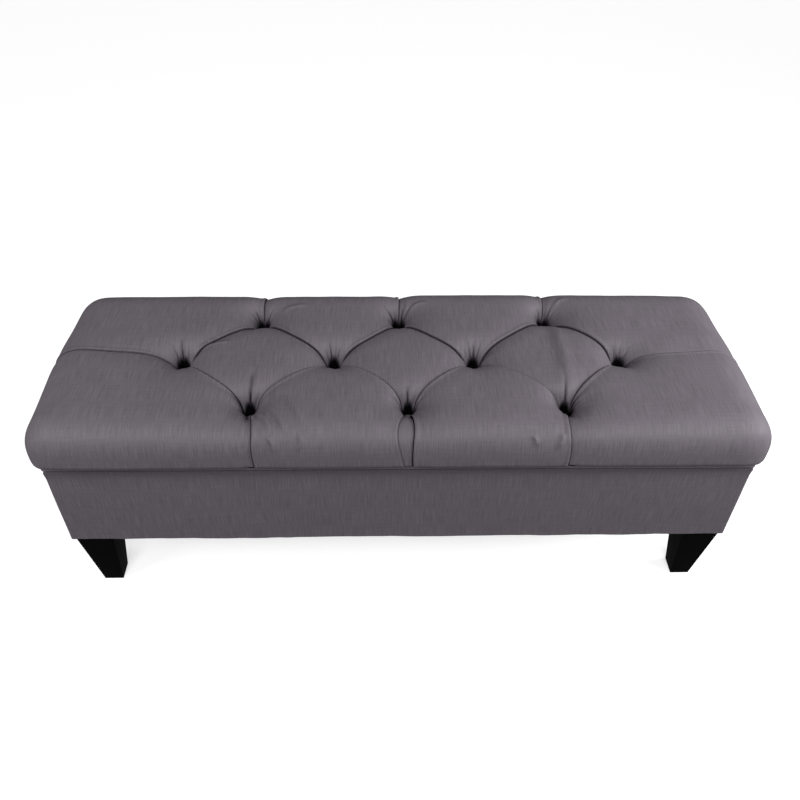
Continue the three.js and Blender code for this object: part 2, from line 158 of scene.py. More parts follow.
def linen(name, light, tint):
    """A plain weave with thick and thin threads both ways, on the cloth's own coordinate in metres.

    Three attributes paint shade into it, down to near black, and take its reflection away there: "fold" is
    the shade painted into dimples, beside ridges, in the hem's grooves and under the lid, "crease" is its
    signed distance in mm from a pleat's line, and "crease_weight" is how tightly that pleat is shut, which
    sets how dark the painted line along it is."""
    finish = Finish(name)
    plus, times = finish.plus, finish.times
    cloth = finish.node("ShaderNodeUVMap", {"uv_map": "cloth"}).outputs["UV"]
    warp = finish.noise(cloth, (520, 21, 1), 3.0, 0.62)
    weft = finish.noise(cloth, (17, 420, 1), 3.0, 0.6)
    threads = plus(finish.noise(cloth, (1700, 260, 1), 1.0), finish.noise(cloth, (260, 1700, 1), 1.0))
    patches = finish.noise(cloth, (7, 7, 1))
    slubs = plus(times(warp, 0.72), times(weft, 0.28))
    weave = plus(slubs, times(threads, 0.14))
    colour = finish.ramp(plus(weave, times(patches, 0.08)), (0.50, grey(light * 0.78, tint)),
                         (0.68, grey(light, tint)), (0.86, grey(light * 1.28, tint)))

    # Painted shade: the colour is blended to near black along each shut crease and wherever "fold" is set,
    # and its reflection is taken away there.
    attribute = lambda key: finish.node("ShaderNodeAttribute", {"attribute_name": key}).outputs["Fac"]
    scaled = times(attribute("crease"), 1 / CREASE_HALF_WIDTH)
    line = finish.math("POWER", math.exp(-1), times(scaled, scaled))
    shut = times(line, attribute("crease_weight"))
    dark = finish.math("MINIMUM", finish.math("MAXIMUM", shut, attribute("fold")), 1.0)
    deep = finish.node("ShaderNodeMix", {"data_type": "RGBA"})
    share, shown, shade_colour = (deep.inputs[k] for k in (0, 6, 7))
    for socket, value in ((share, dark), (shown, colour), (shade_colour, (*grey(light * 0.02, tint), 1))):
        finish.feed(socket, value)
    return finish.shade(Base_Color=deep.outputs[2], Roughness=plus(times(slubs, 0.2), 0.56),
                        Specular_IOR_Level=times(finish.math("SUBTRACT", 1.0, dark), 0.36),
                        Normal=finish.bump(weave, 0.45, 0.0005))


def nonwoven(name, light):
    """Felted dust cloth: matt, with short fibres lying every way."""
    finish = Finish(name)
    fibres = finish.object_noise((900, 900, 900), 4.0)
    tone = finish.plus(finish.times(fibres, 0.7), finish.times(finish.object_noise((40, 40, 40)), 0.3))
    return finish.shade(Base_Color=finish.ramp(tone, (0.3, grey(light * 0.6)), (0.7, grey(light * 1.5))),
                        Roughness=0.95, Specular_IOR_Level=0.2, Normal=finish.bump(fibres, 0.4, 0.0005))


def wood(name, dark, light, roughness, along, bump, coat=0.0, shine=0.5):
    """Wood with its grain along one axis, as a bare ply or under a lacquer."""
    finish = Finish(name)
    scale = [140.0, 140.0, 140.0]
    scale[along] = 7.0
    grain = finish.object_noise(tuple(scale), 5.0)
    pores = finish.object_noise(tuple(s * 6 for s in scale), 2.0)
    tone = finish.plus(finish.times(grain, 0.8), finish.times(pores, 0.2))
    rough = finish.plus(finish.times(grain, 0.2), roughness - 0.1)
    return finish.shade(Base_Color=finish.ramp(tone, (0.35, dark), (0.65, light)), Roughness=rough,
                        Coat_Weight=coat, Coat_Roughness=0.25, Specular_IOR_Level=shine,
                        Normal=finish.bump(tone, bump, 0.0004))


def speckled(name, dark, light, roughness, metallic, scale, bump=0.1):
    """Metal, moulded plastic, foam or twine: a base colour that varies at one scale."""
    finish = Finish(name)
    spots = finish.object_noise(scale, 4.0)
    rough = finish.plus(finish.times(spots, 0.25), roughness - 0.12)
    return finish.shade(Base_Color=finish.ramp(spots, (0.35, dark), (0.65, light)), Roughness=rough,
                        Metallic=metallic, Normal=finish.bump(spots, bump, 0.0003))


FABRIC_TINT = (1.05, 0.905, 1.07)
LACQUER_BLACKS = (0.0009, 0.0008, 0.0008), (0.0024, 0.002, 0.0019)
PLASTIC_GREYS = (0.008, 0.008, 0.009), (0.016, 0.016, 0.018)
BY_SLOT = {
    "upholstery": linen("grey_linen", 0.112, FABRIC_TINT),
    "lining_cloth": nonwoven("lining_cloth", 0.016),
    "plywood": wood("birch_plywood", (0.42, 0.27, 0.14), (0.66, 0.47, 0.28), 0.65, 0, 0.25),
    "leg_wood": wood("black_lacquer", *LACQUER_BLACKS, 0.5, 2, 0.12, shine=0.06),
    "foam": speckled("cream_foam", (0.62, 0.56, 0.42), (0.78, 0.72, 0.56), 0.95, 0, (700, 700, 700), 0.5),
    "zinc_steel": speckled("zinc_plate", (0.42, 0.43, 0.44), (0.6, 0.61, 0.62), 0.36, 1, (160, 160, 160)),
    "dark_plastic": speckled("black_plastic", *PLASTIC_GREYS, 0.5, 0, (900, 900, 900), 0.25),
    "twine": speckled("waxed_twine", (0.5, 0.45, 0.36), (0.72, 0.67, 0.56), 0.8, 0, (900, 900, 300), 0.4),
}
SLOT_OF = {row["node"]: row["material_slot"] for row in frame["record"]["subparts"]}


# ---- mesh helpers
def set_smooth(mesh, angle=None):
    mesh.polygons.foreach_set("use_smooth", [True] * len(mesh.polygons))
    if angle is not None:
        mesh.set_sharp_from_angle(angle=math.radians(angle))


def mesh_of(name, verts, faces):
    mesh = bpy.data.meshes.new(name)
    mesh.from_pydata(verts, [], faces)
    return mesh


def mesh_from(shape, name):
    """The mesh of a finished bmesh."""
    mesh = bpy.data.meshes.new(name)
    shape.to_mesh(mesh)
    shape.free()
    return mesh


def bands(rings, count, closed=False):
    """The quads between rings of count points each; closed joins the last ring to the first."""
    faces = []
    for k in range(rings if closed else rings - 1):
        here, above = k * count, (k + 1) % rings * count
        for i in range(count):
            after = (i + 1) % count
            faces.append((here + i, here + after, above + after, above + i))
    return faces


def grid_rim(nx, ny):
    """The points round the edge of a grid of nx by ny cells, counted along X and then along Y."""
    index = lambda i, j: j * (nx + 1) + i
    front_right = [index(i, 0) for i in range(nx)] + [index(nx, j) for j in range(ny)]
    return front_right + [index(i, ny) for i in range(nx, 0, -1)] + [index(0, j) for j in range(ny, 0, -1)]


def grid_cells(nx, ny):
    starts = [j * (nx + 1) + i for j in range(ny) for i in range(nx)]
    return [(k, k + 1, k + nx + 2, k + nx + 1) for k in starts]


def point_values(mesh, key, values):
    mesh.attributes.new(key, "FLOAT", "POINT").data.foreach_set("value", np.asarray(values, np.float32))


def link(name, data):
    item = bpy.data.objects.new(name, data)
    bpy.context.scene.collection.objects.link(item)
    return item


def new_object(name, mesh, slot, body, *nodes):
    """A visible piece: its finish, the body it rides on and the CAD nodes it stands for."""
    piece = link(name, mesh)
    mesh.materials.clear()
    mesh.materials.append(BY_SLOT[slot])
    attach(piece, body)
    if nodes:
        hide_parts(*nodes)
    return piece


def cloth_uv(mesh, corners):
    """The cloth's own coordinate, in metres, at each corner of each face."""
    layer = mesh.uv_layers.new(name="cloth")
    layer.data.foreach_set("uv", np.asarray(corners, np.float32).ravel())


def loop_arrays(mesh):
    loops = np.zeros(len(mesh.loops), int)
    mesh.loops.foreach_get("vertex_index", loops)
    counts = np.zeros(len(mesh.polygons), int)
    mesh.polygons.foreach_get("loop_total", counts)
    return loops, np.repeat(np.arange(len(counts)), counts), counts


def positions(mesh):
    flat = np.zeros(len(mesh.vertices) * 3)
    mesh.vertices.foreach_get("co", flat)
    return flat.reshape(-1, 3)


def box_mapped_uv(mesh):
    """Unfolds each face along the axis it faces."""
    loops, face_of, _ = loop_arrays(mesh)
    normals = np.zeros(len(mesh.polygons) * 3)
    mesh.polygons.foreach_get("normal", normals)
    axis = np.abs(normals.reshape(-1, 3)).argmax(1)[face_of]
    co = positions(mesh)[loops]
    u = np.where(axis == 0, co[:, 1], co[:, 0])
    v = np.where(axis == 2, co[:, 1], co[:, 2])
    cloth_uv(mesh, np.stack([u, v], 1))


def noise_2d(x, y, size, seed):
    """Smooth noise between -1 and 1 whose features are about size across."""
    lattice = np.random.RandomState(seed).uniform(-1, 1, (64, 64))
    gx, gy = np.asarray(x) / size + 20.37, np.asarray(y) / size + 20.71
    ix, iy = np.floor(gx).astype(int), np.floor(gy).astype(int)
    fx, fy = gx - ix, gy - iy
    fx, fy = fx * fx * (3 - 2 * fx), fy * fy * (3 - 2 * fy)
    value = lambda a, b: lattice[(ix + a) % 64, (iy + b) % 64]
    low = value(0, 0) * (1 - fx) + value(1, 0) * fx
    high = value(0, 1) * (1 - fx) + value(1, 1) * fx
    return low * (1 - fy) + high * fy


def bell(value, width):
    return np.exp(-((value / width) ** 2))


def smoothstep(low, high, value):
    t = np.clip((np.asarray(value) - low) / (high - low), 0, 1)
    return t * t * (3 - 2 * t)


# ---- the cushion's tufting
BUTTON_NAMES = [n for n in NODES if n.startswith("button_") and "twine" not in n]
BUTTONS = {n[len("button_"):]: (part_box(n)[0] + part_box(n)[1]) / 2 for n in BUTTON_NAMES}


def button_xy(where):
    return np.array(BUTTONS[where][:2])


class Pleat:
    """A fold line on the unfolded cloth, from one button to another or out over an edge.

    lap is the side whose cloth lies on top: +1 for the left of the line's direction, -1 for its right.
    bow is how far the line bends to its left; an endless pleat runs out over the edge instead, and sweep is
    how many half waves it bends in. slack is the share by which the crease opens towards its far end."""

    def __init__(self, start, end, lap, bow, depth, crease, endless=False, sweep=1.5, slack=0.0):
        self.start, self.end = np.array(start, float), np.array(end, float)
        self.lap, self.bow, self.depth, self.crease, self.endless = lap, bow, depth, crease, endless
        self.sweep, self.slack = sweep, slack
        self.width = self.width_under = 0.046
        self.length = float(np.linalg.norm(self.end - self.start))
        self.along = (self.end - self.start) / self.length
        self.across = np.array([-self.along[1], self.along[0]])

    def measure(self, points):
        """For each point: distance along, signed distance across, and distance past the ends."""
        offset = points - self.start
        t = offset @ self.along
        if self.endless:
            reach = np.clip(t / EDGE_REACH, 0, 1)
            line = self.bow * np.sin(reach * math.pi * self.sweep) * (1 - 0.3 * reach)
            past = np.maximum(-t, 0)
        else:
            share = np.clip(t / self.length, 0, 1)
            line = self.bow * np.sin(share * math.pi)
            past = np.maximum(-t, 0) + np.maximum(t - self.length, 0)
        return t, (offset @ self.across - line) * self.lap, past

    def tightness(self, t):
        """How tightly the crease is shut at a distance along it."""
        return self.crease * (1 - self.slack * smoothstep(0.3, 0.9, t / self.length))

    def to_button(self, t):
        """Distance along the line to the nearest of its buttons."""
        return np.abs(t) if self.endless else np.minimum(np.abs(t), np.abs(self.length - t))


EDGE_REACH = 0.19  # from an outer row of buttons to the hem, along the cloth


def pleats():
    """Diagonal pleats between the rows, and straight ones out over the four edges.

    The bows say how far each pleat between two rows bends towards the middle row."""
    found = []
    links = ((1, 1), (1, 2), (2, 2), (2, 3), (3, 3), (3, 4))  # an outer button and a middle one
    slacks = dict(zip(links, (0.2, 0.45, 0.75, 0.5, 0.5, 0.4)))
    back_bows = (0.013, 0.012, 0.018, 0.0175, 0.008, 0.003)
    front_bows = (-0.009, -0.003, 0.002, -0.002, -0.0025, 0.0)
    for row, bows in (("back", back_bows), ("front", front_bows)):
        for (i, j), bow in zip(links, bows):
            a, b = button_xy(f"{row}_{i}"), button_xy(f"middle_{j}")
            outside = 1 if (j == i) == (row == "front") else -1  # the side away from the diamond
            crease, slack, depth = (0.85, 0.0, 0.0070) if row == "back" else (1.0, slacks[i, j], 0.0062)
            pleat = Pleat(a, b, outside, -outside * bow, depth, crease, slack=slack)
            pleat.width, pleat.width_under = (0.050, 0.040) if row == "back" else (0.040, 0.050)
            found.append(pleat)
    far_x, far_y = LID_X + 0.2, LID_Y + 0.2
    for i, bow in ((1, 0.001), (2, 0.0), (3, 0.002)):
        x, y = button_xy(f"back_{i}")
        found.append(Pleat((x, y), (x, far_y), 1, bow, 0.006, 0.95, True))
    for i, bow, drift, lap in ((1, 0.007, 0.034, 1), (2, 0.006, 0.019, 1), (3, -0.006, -0.019, -1)):
        x, y = button_xy(f"front_{i}")
        found.append(Pleat((x, y), (x + drift, -far_y), lap, bow, 0.006, 1.7, True))
    x, y = button_xy("front_2")
    found.append(Pleat((x, y), (x - 0.008, -far_y), -1, -0.022, 0.004, 0.35, True, sweep=0.95))
    for where, end, drift, bow in (("middle_1", -far_x, 0.020, 0.004), ("middle_4", far_x, 0.0, -0.009)):
        x, y = button_xy(where)
        found.append(Pleat((x, y), (end, y + drift), -1, bow, 0.0055, 0.65, True, sweep=1.0))
    return found


PLEATS = pleats()

HOLE, HOLE_DEPTH = 0.0122, 0.024  # radius and depth of the hole over a button
DIMPLE = 0.012  # radius inside which a dimple's slope isn't counted
NOTCH = 0.0155  # how far a dimple's front lip dips
LAP_RISE, CREASE_DEPTH, DRAWN = 0.0017, 0.0032, 0.0024  # a pleat's lap, its crease, and its cloth drawn over

# The folds gathered at each button, besides its pleats: (direction in degrees, reach in mm, depth in mm).
GATHERS = {
    "back_1": ((128, 16, 9), (150, 14, 6), (48, 15, 8), (20, 24, 3), (-80, 12, 2)),
    "back_2": ((142, 24, 9), (68, 22, 9), (40, 28, 7), (110, 12, 5), (-95, 12, 4)),
    "back_3": ((118, 16, 8), (55, 30, 6), (30, 14, 5), (-52, 40, 4), (150, 12, 4)),
    "middle_1": ((96, 26, 12), (128, 20, 6), (60, 12, 5), (22, 26, 6), (-140, 14, 2)),
    "middle_2": ((104, 18, 9), (128, 12, 6), (60, 14, 6), (14, 16, 4), (-66, 34, 7), (-112, 30, 5)),
    "middle_3": ((88, 20, 10), (112, 22, 6), (62, 22, 6), (14, 26, 5), (-34, 20, 6), (-80, 12, 2)),
    "middle_4": ((78, 14, 5), (112, 14, 6), (45, 12, 5), (-32, 24, 6), (-75, 16, 3)),
    "front_1": ((87, 48, 15), (152, 32, 9), (56, 14, 6), (30, 12, 5), (-52, 30, 3), (-72, 22, 3),
                (-89, 34, 9)),
    "front_2": ((93, 30, 13), (158, 18, 6), (60, 14, 5), (22, 20, 8), (-108, 48, 5), (-86, 18, 7)),
    "front_3": ((89, 32, 13), (136, 24, 6), (34, 22, 9), (12, 16, 6), (-60, 16, 3), (-80, 22, 8)),
}

# The direction in degrees in which each button draws its front lip down.
NOTCHES = {"back_1": -112, "back_2": -88, "back_3": -62, "middle_1": -98, "middle_2": -80, "middle_3": -95,
           "middle_4": -78, "front_1": -86, "front_2": -96, "front_3": -84}

# Soft ridges the cloth throws beside the buttons: ends in plan, height and half width, in mm.
RIDGES = (
    ((-250, -150), (-222, -205), 1.6, 5), ((-232, -140), (-196, -212), 2.0, 5),
    ((-200, -128), (-168, -190), 1.2, 6), ((-262, -150), (-244, -196), 1.2, 4),
    ((-172, -226), (-176, -262), 1.4, 4), ((-225, -232), (-217, -268), 1.4, 4),
    ((218, -232), (222, -256), 1.6, 4), ((268, -226), (262, -262), 1.5, 5), ((300, 92), (297, -84), 1.5, 12),
    ((-228, 132), (-184, 142), 1.0, 4), ((22, 142), (54, 148), 1.0, 3), ((312, 150), (334, 162), 1.0, 4),
    ((-374, 20), (-318, 26), 1.2, 5),
)


def turned(offset, degrees):
    """Distances forward and to the left of a direction in plan."""
    aim = math.radians(degrees)
    forward = offset[:, 0] * math.cos(aim) + offset[:, 1] * math.sin(aim)
    return forward, offset[:, 1] * math.cos(aim) - offset[:, 0] * math.sin(aim)


def gather(offset, radius, where):
    """Depth of the small folds round one button, each of which tapers to a point, and their painted shade."""
    out = np.maximum(radius - DIMPLE, 0)
    depth, dark = np.zeros((2, len(radius)))
    for degrees, reach, deepest in GATHERS[where]:
        forward, across = turned(offset, degrees)
        taper = np.exp(-out / (reach * 0.0006))
        begun = smoothstep(0, 0.006, forward)
        depth += 0.0007 * deepest * bell(across, 0.0014 + 0.07 * out) * taper * begun
        # Painted shade: a dark core down each fold, and a wider dark flank on its left side.
        share = min(deepest / 9, 1)
        core_shade = bell(across, 0.0005 + 0.0017 * taper) * np.clip(1.15 - out / (reach * 0.0011), 0, 1) * begun
        flank_shade = bell(across, np.where(across > 0, 0.0012 + 0.0062 * taper, 0.0004)) * min(reach / 40, 1)
        dark = np.maximum(dark, share * np.maximum(core_shade, 0.5 * flank_shade * taper * begun))
    angle = np.arctan2(offset[:, 1], offset[:, 0])
    phase = button_xy(where) @ (31.0, 47.0)
    rays = 0.5 + 0.32 * np.cos(17 * angle + phase) + 0.18 * np.cos(29 * angle - 3 * phase)
    depth += 0.0016 * rays * np.exp(-out / 0.009)
    # Painted shade in dark rays round the hole.
    dark = np.maximum(dark, 0.5 * rays ** 2 * np.exp(-out / 0.006))
    near = smoothstep(0.007, 0.0125, radius)
    return depth * near, dark * near


def dimple(points, where):
    """How deep one button draws the cloth in, and the shade painted into its hole and the folds round it."""
    offset = points - button_xy(where)
    radius = np.linalg.norm(offset, axis=1)
    inside = 1 / (1 + np.exp(np.minimum((radius - HOLE) / 0.0011, 60)))
    out = np.maximum(radius - DIMPLE, 0)
    towards_front = -offset[:, 1] / np.maximum(radius, 1e-6)
    slope = np.exp(-out / (0.0240 + 0.0125 * towards_front))
    flare = (0.0325 + 0.018 * button_xy(where)[1] - 0.002 * np.maximum(towards_front, 0)) * slope
    forward, across = turned(offset, NOTCHES[where])
    notch = NOTCH * np.exp(-np.abs(across) / (0.0055 + 0.2 * np.maximum(forward, 0)))
    flare += notch * smoothstep(0, 0.008, forward) * np.exp(-out / 0.018)
    depth, dark = gather(offset, radius, where)
    # Painted shade: the bottom of the hole is painted dark, reaching a little further to the back.
    bottom = 1 - smoothstep(0.0108, 0.0150, radius + 0.0024 * towards_front)
    return HOLE_DEPTH * inside + flare + depth * (1 - 0.75 * inside), np.maximum(bottom, dark)


def ridges(points):
    """Height and painted shade of the soft ridges: each is painted darker down its left side."""
    height, shade = np.zeros((2, len(points)))
    for start, end, rise, half_width in RIDGES:
        a, b = np.array(start) * 0.001, np.array(end) * 0.001
        length = np.linalg.norm(b - a)
        along = (b - a) / length
        t = (points - a) @ along / length
        across = (points - a) @ np.array([-along[1], along[0]])
        across = across - 0.003 * np.sin(np.clip(t, 0, 1) * math.pi)
        held = smoothstep(-0.25, 0.3, t) * (1 - smoothstep(0.7, 1.25, t))
        height += 0.0019 * rise * bell(across, half_width * 0.001) * held
        beside = across * math.copysign(1, along[1]) - half_width * 0.0011
        # Painted shade along one side of the ridge.
        shade = np.maximum(shade, 0.10 * rise * bell(beside, half_width * 0.0009) * held)
    return height, shade


def tufting(points):
    """At points on the unfolded cloth: its height over the plain cushion, its sideways shift, and the shade
    painted into its colour, which is the painted darkness of dimples and ridges, the signed distance in mm
    to the nearest crease, and that crease's weight for the painted line along it."""
    height, valleys, clefts, painted_shade, weight = np.zeros((5, len(points)))
    shift, crease_mm = np.zeros((len(points), 2)), np.full(len(points), 50.0)
    for pleat in PLEATS:
        t, d, past = pleat.measure(points)
        fade = np.clip(1 - past / 0.006, 0, 1)
        over_edge = 1 - 0.6 * smoothstep(0.1, 0.24, t) * pleat.endless
        reach = np.where(d > 0, pleat.width, pleat.width_under)
        step = 1 - 0.42 * smoothstep(-0.0013, 0.0019, d)  # the lapping side lies higher
        valleys += (pleat.depth * step * over_edge * np.clip(1 - np.hypot(d, past) / reach, 0, 1) ** 2) ** 3
        near = pleat.to_button(t)
        back_end = t < pleat.length / 2 if pleat.along[1] > 0 else t > pleat.length / 2
        deepest = np.where(back_end & ~(pleat.endless and pleat.along[1] < 0), 0.014, 0.006)
        cleft = deepest * np.exp(-np.maximum(near - 0.013, 0) / 0.022) * bell(d, 0.003 + 0.18 * near) * fade
        clefts += (cleft * smoothstep(0.006, 0.016, near)) ** 4
        tight = smoothstep(0.012, 0.022, near) * fade * np.minimum(pleat.tightness(t), 1.1)
        height += (LAP_RISE * bell(d - 0.0034, 0.0022) - CREASE_DEPTH * bell(d, 0.0013)) * tight
        drawn_over = DRAWN * bell(d - 0.0016, 0.0020) * tight
        shift -= drawn_over[:, None] * pleat.lap * pleat.across
        closer = (np.abs(d) < np.abs(crease_mm) * 0.001) & (past < 0.006)
        # the painted dark line of a crease that runs along the bench is drawn wider
        lying = (d - drawn_over + 0.0012 * tight) * 1000
        crease_mm = np.where(closer, lying * (1 - 0.42 * abs(pleat.along[0])), crease_mm)
        # How dark the crease's painted line is: as dark as the pleat is tightly shut.
        shut = smoothstep(0.007, 0.013, near) * fade * pleat.tightness(t)
        weight = np.where(closer, shut * (1 - smoothstep(0.004, 0.007, np.abs(d))), weight)
    height -= valleys ** (1 / 3) + clefts ** 0.25

    # Each dimple, and then each ridge, adds the shade painted into the linen's colour.
    for where in BUTTONS:
        depth, dark = dimple(points, where)
        height -= depth
        painted_shade = np.maximum(painted_shade, dark)
    rise, shade = ridges(points)
    height += rise
    painted_shade = np.maximum(painted_shade, shade)
    height += 0.0007 * noise_2d(*points.T, 0.09, 3) + 0.0003 * noise_2d(*points.T, 0.03, 4)
    return height, shift, (painted_shade, crease_mm, weight)


# ---- the cushion
def underside():
    """(swell, inset, level) down from the widest level: the tuck, the hem strip and the turn under the board.

    swell is the share of the bulge at that level, and inset is how far inside that outline it lies."""
    hem_top = LID_LOW.z + HEM
    curve = [math.radians(3 * k) for k in range(31)]
    tuck = [(0.5 * math.cos(a) + 0.5 * (1 - math.sin(a)), 0.0, WIDEST - (WIDEST - hem_top) * math.sin(a))
            for a in curve]
    strip = [(0.0025, HEM - 0.0002), (0.0004, HEM - 0.0012), (0.0, HEM - 0.0024), (-0.0006, 0.006),
             (-0.0016, 0.0042), (-0.0021, 0.0024), (-0.0017, 0.0006), (0.0006, 0)]
    flange, board_edge = 0.03, HALF_X - BOARD_HIGH.x - CLEAR
    under, over = BOARD_LOW.z - CLEAR - LID_LOW.z, BOARD_HIGH.z + CLEAR - LID_LOW.z
    turn = [(flange, 0), (flange, under), (board_edge, under), (board_edge, over), (board_edge + 0.05, over)]
    return tuck + [(0, inset, LID_LOW.z + z) for inset, z in strip + turn]


UNDERSIDE = np.array(underside())
SIDE_PROFILE = np.stack([UNDERSIDE[:, 0] * BULGE[1] - UNDERSIDE[:, 1], UNDERSIDE[:, 2]], 1)
UNDERSIDE_S = SHOULDER + np.append(0, np.cumsum(np.linalg.norm(np.diff(SIDE_PROFILE, axis=0), axis=1)))
HEM_S = UNDERSIDE_S[30]  # where the cushion meets the hem strip
STRIP_S = UNDERSIDE_S[38]  # the lower edge of that strip
SQUARENESS = {"front": 1.5, "back": 0.2, "side": 0.3}  # how much squarer than an ellipse the shoulder is
SAG, SWAY, LEAN = 0.0020, 0.0048, 0.005  # how far the hem hangs, the back rises and the right end draws in


def flat_cushion(step):
    """The cushion's cloth unfolded over a sharp box: x and y in plan, and -z the distance down the side."""
    nx, ny = round(2 * LID_X / step), round(2 * LID_Y / step)
    xs, ys = np.linspace(-LID_X, LID_X, nx + 1), np.linspace(-LID_Y, LID_Y, ny + 1)
    down = list(np.linspace(0, SHOULDER, round(SHOULDER / step) + 1)[1:])
    down += [UNDERSIDE_S[k] for k in (4, 8, 12, 16, 20, 24, 27)] + list(UNDERSIDE_S[30:])
    verts = [(x, y, 0.0) for y in ys for x in xs]
    faces = grid_cells(nx, ny)
    ring = edge = grid_rim(nx, ny)
    for s in down:
        lower = list(range(len(verts), len(verts) + len(edge)))
        verts += [(verts[k][0], verts[k][1], -s) for k in edge]
        for k in range(len(edge)):
            after = (k + 1) % len(edge)
            faces.append((ring[k], lower[k], lower[after], ring[after]))
        ring = lower
    faces.append(tuple(reversed(ring)))
    return mesh_of("lid_cushion", verts, faces)


def unfold(q):
    """Places on the unfolded cloth, in the plane of the seat, of points on the sharp box."""
    x, y, s = q[:, 0], q[:, 1], -q[:, 2]
    over_x = (np.abs(np.abs(x) - LID_X) < 1e-7) & (s > 0)
    over_y = (np.abs(np.abs(y) - LID_Y) < 1e-7) & (s > 0) & ~over_x
    plan = np.stack([x, y], 1)
    plan[over_x, 0] += np.sign(x[over_x]) * s[over_x]
    plan[over_y, 1] += np.sign(y[over_y]) * s[over_y]
    return plan


def refine(mesh, levels):
    """Splits the edges that lie close to a pleat or a button, once for each (pleat reach, button reach)."""
    for pleat_reach, button_reach in levels:
        edges = np.zeros(len(mesh.edges) * 2, int)
        mesh.edges.foreach_get("vertices", edges)
        middle = positions(mesh)[edges.reshape(-1, 2)].mean(1)
        flat = unfold(middle)
        near = np.full(len(flat), 1.0)
        for pleat in PLEATS:
            _, d, past = pleat.measure(flat)
            near = np.minimum(near, np.hypot(d, past) / max(pleat_reach, 1e-9))
        for where in BUTTONS:
            near = np.minimum(near, np.linalg.norm(flat - button_xy(where), axis=1) / button_reach)
        if pleat_reach:
            near = np.where(ridges(flat)[0] > 0.0003, 0, near)
        chosen = (near < 1) & (-middle[:, 2] < HEM_S + 1e-5)
        shape = bmesh.new()
        shape.from_mesh(mesh)
        shape.edges.ensure_lookup_table()
        cut = [shape.edges[k] for k in np.flatnonzero(chosen)]
        bmesh.ops.subdivide_edges(shape, edges=cut, cuts=1, use_grid_fill=True)
        big = [f for f in shape.faces if 4 < len(f.verts) < 12]
        bmesh.ops.triangulate(shape, faces=big)
        shape.to_mesh(mesh)
        shape.free()


def overhang(value, half):
    """How far a coordinate lies past the cushion's flat middle, in shoulder widths, and the nearest place."""
    nearest = np.clip(value, -(half - SHOULDER), half - SHOULDER)
    return (value - nearest) / SHOULDER, nearest


def plain_cushion(q):
    """The cushion before it is tufted: the place, normal and tilt at each point of the sharp box."""
    x, y, s = q[:, 0], q[:, 1], -q[:, 2]
    swell = np.interp(s, UNDERSIDE_S, UNDERSIDE[:, 0], left=1)
    inset = np.interp(s, UNDERSIDE_S, UNDERSIDE[:, 1], left=0)
    radius = np.maximum(HEM_CORNER + (SHOULDER - HEM_CORNER) * swell ** 1.5 - inset, 0.001)
    core_x = HALF_X + swell * BULGE[0] - inset - radius
    core_y = HALF_Y + swell * np.where(y < 0, FRONT_BULGE, BULGE[1]) - inset - radius
    (dx, cx), (dy, cy) = overhang(x, LID_X), overhang(y, LID_Y)
    corner = np.where(y > 0, 3.4, 2.8)  # above 2, so that the corners are squarer than a circle
    m = (np.abs(dx) ** corner + np.abs(dy) ** corner) ** (1 / corner)
    tilt = np.arctan2(m, np.clip(1 - s / SHOULDER, 0, 1))
    away = np.stack([dx, dy], 1) / np.maximum(m, 1e-9)[:, None]
    flat_length = np.maximum(np.hypot(away[:, 0], away[:, 1]), 1e-9)
    seat = LID_HIGH.z - CROWN
    power = 2 + np.where(y < 0, SQUARENESS["front"], SQUARENESS["back"]) * (away[:, 1] / flat_length) ** 2
    power += (0.12 + SQUARENESS["side"] * bell(y + 0.04, 0.09)) * (away[:, 0] / flat_length) ** 2
    sine, cosine = np.sin(tilt), np.maximum(np.cos(tilt), 0)
    reach = (sine ** power + cosine ** power) ** (-1 / power)
    place = np.empty_like(q)
    place[:, 0] = cx * core_x / (LID_X - SHOULDER) + away[:, 0] * radius * sine * reach
    place[:, 1] = cy * core_y / (LID_Y - SHOULDER) + away[:, 1] * radius * sine * reach
    below = np.interp(s, UNDERSIDE_S, UNDERSIDE[:, 2])
    strip = smoothstep(HEM_S + 0.004, HEM_S + 0.011, s) * (1 - smoothstep(STRIP_S, STRIP_S + 0.012, s))
    hang = SAG * smoothstep(0.2, 0.5, x) * (1 - smoothstep(0.04, 0.16, y))
    place[:, 2] = np.where(s < SHOULDER, WIDEST + (seat - WIDEST) * cosine * reach, below - hang * strip)
    back = smoothstep(-0.02, 0.18, y)
    right_of_middle = smoothstep(-0.12, 0.05, x) * (1 - 0.5 * smoothstep(0.3, 0.6, x))
    place[:, 2] += np.cos(tilt) * (0.0008 + SWAY * right_of_middle * back)
    place[:, 0] -= LEAN * back * smoothstep(0.35, 0.62, x)
    place[:, 0] -= 0.0035 * smoothstep(0.35, 0.6, -x) * bell(y - 0.02, 0.11)
    level = (1 - np.clip(np.abs(x) / LID_X, 0, 1) ** 4) * (1 - np.clip(np.abs(y) / LID_Y, 0, 1) ** 2)
    place[:, 2] += CROWN * level * np.cos(tilt)

    outwards, upwards = sine ** (power - 1) / SHOULDER, cosine ** (power - 1) / (seat - WIDEST)
    normal = np.column_stack([away / flat_length[:, None] * outwards[:, None], upwards])
    return place, normal / np.linalg.norm(normal, axis=1)[:, None], tilt


